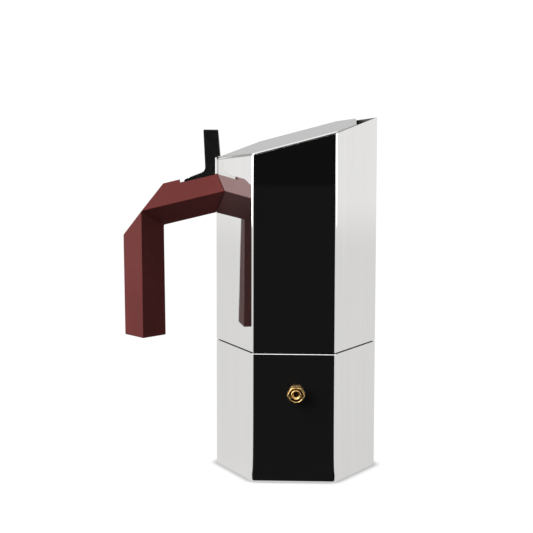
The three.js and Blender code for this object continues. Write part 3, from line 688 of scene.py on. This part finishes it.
def maroon_plastic():
    """Moulded thermoplastic: deep maroon, satin, with a fine even spark-eroded texture of about
    0.2 mm, drawn at 0.5 mm."""
    material = new_material("moulded maroon thermoplastic")
    cloud = speckle(material, 22)
    fine = speckle(material, 0.5)
    gloss = {"Value": fine, "To Min": 0.45, "To Max": 0.55}
    sockets = {
        "Base Color": mottle(material, cloud, (0.3, 0.7), (0, 1), linear("6e2a27"), linear("652522")),
        "Roughness": add(material, "ShaderNodeMapRange", gloss),
        "Specular IOR Level": 0.13,
        "Normal": add(material, "ShaderNodeBump", {"Height": fine, "Distance": 0.008 * mm}),
    }
    shader = add(material, "ShaderNodeBsdfPrincipled", sockets)
    add(material, "ShaderNodeOutputMaterial", {"Surface": shader})
    return material


# The arm's V-shaped end is moved up to the two rear faces of the body that it hugs. The bore for
# the hinge pin just breaks through the arm's upper faces beside the slot, and drawing the points
# round each break together closes it.
handle_mesh = merged("handle", "handle")
handle_points = corners(handle_mesh)
along, aside, up = handle_points.T
off_body = np.abs(aside) / 2 - math.sqrt(0.75) * along - apothem
handle_points[off_body < end_reach, 0] += end_shift
for side in (-1, 1):
    round_bore = np.hypot(along - break_x, up - break_z) < break_radius
    breaks = round_bore & (np.abs(aside * side - slot_side) < slot_reach)
    handle_points[breaks] = handle_points[breaks].mean(0)
move_corners(handle_mesh, handle_points)
grip = settle("faceted_handle", handle_mesh, maroon_plastic(), "collector", "maroon_plastic", "handle")
round_edges(grip, 0.35)


def pin_along_y(node, piece_name, body, end_chamfer=0.2):
    """A steel pin with chamfered ends, in the box of its CAD node: circles of half the box's width
    about its middle line."""
    low, high = (np.array(corner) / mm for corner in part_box(node))
    radius = (high[0] - low[0]) / 2
    inner = radius - end_chamfer
    ends = [(inner, low[1]), (radius, low[1] + end_chamfer)]
    profile = [*ends, (radius, high[1] - end_chamfer), (inner, high[1])]
    across, upward, lengthwise = np.moveaxis(turned(profile, 32), -1, 0)
    middle = (low + high) / 2
    rings = np.stack([middle[0] + across, lengthwise, middle[2] - upward], -1)
    settle(piece_name, skin(piece_name, rings), steel, body, "steel", node)


pin_along_y("handle_pin_inner", "handle_pin_near", "collector")
pin_along_y("handle_pin_outer", "handle_pin_far", "collector")


# ---------------------------------------------------------------- lid
# A slanted plate of polished aluminium with a rim under it that centres it in the collector. Its
# upright tab is pinned inside the polished lever, which turns on a pin in the handle's slot.

lid_sides = (0, 30, 90, 150, 210, 270, 330)
cut_edge = 37.0
lid_reach = np.array([cut_edge] + [apothem] * 6)
lid_underside, lid_top = 0.1, 1.3
under_chamfer = 0.03
lid_rounding = 1.05
plug_reach = np.array([36.6, 39.9, 39.9, 37.65, 37.65, 39.9, 39.9])
plug_depth, plug_wall, plug_chamfer = 2.2, 2.0, 0.3
plug_bore = plug_reach - plug_wall
plug_corner, plug_inner_corner, corner_change = 2.0, 1.0, 0.2
tab_side = [  # X and Z
    (-54.6, 208.4),
    (-54.6, 197.4),
    (-49.6, 197.4),
    (-49.6, 193.4),
    (-48.4, 193.4),
    (-49.6, 208.4),
]
tab_half_thickness = 0.5
lever_edge, lever_edge_reach, cut_back = -50.2, 0.4, 1.0


def above_rim(distances, corner, height):
    """A ring with the lid's seven sides, at a height over the plane of the collector's rim."""
    ring = outline(lid_sides, distances, corner)
    return np.column_stack([ring, rim_height + height + rim_slope * ring[:, 0]])


lid_metal = polished_aluminium("satin-polished aluminium", "X", "b9b8b7", "adacab", 0.12)
lid_rings = [
    above_rim(plug_bore, plug_inner_corner, lid_underside),
    above_rim(plug_bore, plug_inner_corner, plug_chamfer - plug_depth),
    above_rim(plug_bore + plug_chamfer, plug_inner_corner + corner_change, -plug_depth),
    above_rim(plug_reach - plug_chamfer, plug_corner - corner_change, -plug_depth),
    above_rim(plug_reach, plug_corner, plug_chamfer - plug_depth),
    above_rim(plug_reach, plug_corner, lid_underside),
    above_rim(lid_reach - under_chamfer, edge_radius, lid_underside),
]
for angle in np.linspace(0, np.pi / 2, 9):
    inset = lid_rounding * (1 - math.cos(angle))
    height = lid_top - lid_rounding * (1 - math.sin(angle))
    lid_rings.append(above_rim(lid_reach - inset, edge_radius - inset, height))
settle("slanted_lid", skin("lid", lid_rings), lid_metal, "lid", "polished_aluminium", "lid")

tab_middle = np.insert(eased(tab_side, 0.3), 1, 0, axis=1)
tab_rings = [tab_middle - [0, tab_half_thickness, 0], tab_middle + [0, tab_half_thickness, 0]]
settle("lid_tab", skin("lid tab", tab_rings), lid_metal, "lid", "polished_aluminium")

# The lever's edge that faces the body is cut back, where the body would mirror it as a dark line.
lever_mesh = merged("lever", "lid_lever")
lever_points = corners(lever_mesh)
at_body = np.abs(lever_points[:, 0] - lever_edge) < lever_edge_reach
lever_points[at_body & (lever_points[:, 1] > 0), 0] -= cut_back
move_corners(lever_mesh, lever_points)
blade_metal = polished_aluminium("polished aluminium blade", "Z", "efeeed", "e3e2e1", 0.13)
lever = settle("lid_blade", lever_mesh, blade_metal, "lid", "polished_aluminium", "lid_lever")
round_edges(lever, 0.2)
pin_along_y("hinge_pin", "lid_hinge_pin", "collector")
pin_along_y("lever_pin_lower", "blade_pin_lower", "lid")
pin_along_y("lever_pin_upper", "blade_pin_upper", "lid")


# ---------------------------------------------------------------- camera, floor and light
# A white studio, lit softly from the upper left, whose floor and surroundings look white to the
# camera, glass and metal. Black cards in front of the pot and white cards at its sides are there
# for metal and gloss only.

yaw, tilt, roll = 0.0432, 0.1355, 0.002
camera = bpy.data.objects.new("camera", bpy.data.cameras.new("camera"))
camera.data.lens = 115.15
camera.data.shift_y = -0.066
camera.location = (0.0270, -1.0514, 0.2916)
level = Matrix.Rotation(math.pi / 2 - tilt, 3, "X")
aim = Matrix.Rotation(yaw, 3, "Z") @ level @ Matrix.Rotation(roll, 3, "Z")
camera.rotation_euler = aim.to_euler()
bpy.context.scene.collection.objects.link(camera)
bpy.context.scene.camera = camera

floor_reach = 30.0
contact_reach = 6 * mm
near, far, card_top = -0.0438, -1.7, 0.7
half_near, half_far, card_lift = 0.04, 1.2, 0.0005
side_distance, side_height = 1.2, 0.5
front_card, rear_card = (-2.0, -0.85), (-0.5, 0.3)
lamp_direction, lamp_width, lamp_strength = (-0.79, -0.26, 0.53), 60, 3.9


def slab(name, places, material):
    """A flat stage face through its corners."""
    mesh = bpy.data.meshes.new(name)
    mesh.from_pydata(places, [], [list(range(len(places)))])
    mesh.materials.append(material)
    thing = bpy.data.objects.new(name, mesh)
    bpy.context.scene.collection.objects.link(thing)
    return thing


def white_views(material):
    """Tells the rays that see a white studio: those from the camera or through glass, and those
    mirrored by metal before they meet any matt face. Without that limit the body would throw the
    studio's white onto the plastic handle."""
    path = add(material, "ShaderNodeLightPath").outputs
    plain = {0: path["Is Camera Ray"], 1: path["Is Transmission Ray"]}
    no_matt_face = {0: path["Diffuse Depth"], 1: 0.5}
    first_seen = add(material, "ShaderNodeMath", no_matt_face, operation="LESS_THAN")
    in_metal = {0: path["Is Glossy Ray"], 1: first_seen}
    return (
        add(material, "ShaderNodeMath", plain, operation="MAXIMUM"),
        add(material, "ShaderNodeMath", in_metal, operation="MULTIPLY"),
    )


def white_paper():
    """Matt white paper. It glows at full white where it is seen plainly, less a narrow painted shadow
    where the pot stands on it, and in metal it is a little darker near the pot than far off, as painted
    shade.
    Its own grey takes the lamp's light and shadow."""
    material = new_material("white paper floor")
    plain, mirrored = white_views(material)
    corner = {"Distance": contact_reach}
    open_air = add(material, "ShaderNodeAmbientOcclusion", corner, samples=16).outputs["AO"]
    shadow = {"Value": open_air, "From Min": 0.6, "From Max": 0.98, "To Min": 0.5}
    contact = add(material, "ShaderNodeMapRange", shadow)
    own = add(material, "ShaderNodeMath", {0: plain, 1: contact}, operation="MULTIPLY")
    # Painted shade: in metal the floor's glow is darker within 0.9 m of the pot than beyond 1.5 m.
    place = add(material, "ShaderNodeTexCoord").outputs["Object"]
    away = add(material, "ShaderNodeVectorMath", {0: place}, operation="LENGTH").outputs["Value"]
    fade = {"Value": away, "From Min": 0.9, "From Max": 1.5, "To Min": 0.785, "To Max": 0.915}
    lift = add(material, "ShaderNodeMapRange", fade, interpolation_type="SMOOTHSTEP")
    strength = add(material, "ShaderNodeMath", {0: mirrored, 1: lift, 2: own}, operation="MULTIPLY_ADD")
    glow = add(material, "ShaderNodeEmission", {"Color": (1, 1, 1, 1), "Strength": strength})
    matt = add(material, "ShaderNodeBsdfDiffuse", {"Color": linear("363636")})
    both = add(material, "ShaderNodeAddShader", {0: glow, 1: matt})
    add(material, "ShaderNodeOutputMaterial", {"Surface": both})
    return material


def black_paper():
    """Matt black paper, which takes hardly any light."""
    material = new_material("black card")
    matt = add(material, "ShaderNodeBsdfDiffuse", {"Color": linear("101010")})
    add(material, "ShaderNodeOutputMaterial", {"Surface": matt})
    return material


def bright_card(name, x, front, back, strength):
    """A tall glowing white card beside the pot."""
    material = new_material(name)
    light = add(material, "ShaderNodeEmission", {"Color": (1, 1, 1, 1), "Strength": strength})
    add(material, "ShaderNodeOutputMaterial", {"Surface": light})
    foot = [(x, front, 0), (x, back, 0)]
    return slab(name, [*foot, (x, back, side_height), (x, front, side_height)], material)


square = [(-1, -1), (1, -1), (1, 1), (-1, 1)]
slab("floor", [(floor_reach * x, floor_reach * y, 0) for x, y in square], white_paper())
black = black_paper()
lying = [(-half_near, near), (-half_far, far), (half_far, far), (half_near, near)]
upright = [(-half_far, 0), (half_far, 0), (half_far, card_top), (-half_far, card_top)]
cards = [
    slab("lying black card", [(x, y, card_lift) for x, y in lying], black),
    slab("upright black card", [(x, far, z) for x, z in upright], black),
    bright_card("left front white card", -side_distance, *front_card, 2.4),
    bright_card("left rear white card", -side_distance, *rear_card, 4.0),
    bright_card("right front white card", side_distance, *front_card, 2.0),
    bright_card("right rear white card", side_distance, *rear_card, 2.0),
]
for card in cards:
    card.visible_camera = False
    card.visible_diffuse = False
    card.visible_shadow = False

# The surroundings are white where they are seen plainly. In metal they brighten upwards, where the
# large soft boxes hang, and every other ray finds them nearly dark.
world = bpy.data.worlds.new("white surroundings")
bpy.context.scene.world = world
world.use_nodes = True
world.node_tree.nodes.clear()
plain, mirrored = white_views(world)
toward = add(world, "ShaderNodeTexCoord").outputs["Generated"]
upward = add(world, "ShaderNodeSeparateXYZ", {0: toward}).outputs["Z"]
rise = {"Value": upward, "From Min": 0.45, "From Max": 0.85, "To Min": 0.68, "To Max": 2.2}
upper = add(world, "ShaderNodeMapRange", rise, interpolation_type="SMOOTHSTEP")
shown = add(world, "ShaderNodeMath", {0: mirrored, 1: upper}, operation="MULTIPLY")
strength = add(world, "ShaderNodeMath", {0: shown, 1: plain}, operation="ADD")
least = add(world, "ShaderNodeMath", {0: strength, 1: 0.05}, operation="MAXIMUM")
sky = add(world, "ShaderNodeBackground", {"Color": (1, 1, 1, 1), "Strength": least})
add(world, "ShaderNodeOutputWorld", {"Surface": sky})

key = bpy.data.objects.new("key", bpy.data.lights.new("key", "SUN"))
key.data.angle = math.radians(lamp_width)
key.data.energy = lamp_strength
key.rotation_euler = Vector(lamp_direction).to_track_quat("Z", "Y").to_euler()
bpy.context.scene.collection.objects.link(key)

bpy.context.scene.view_settings.view_transform = "Standard"
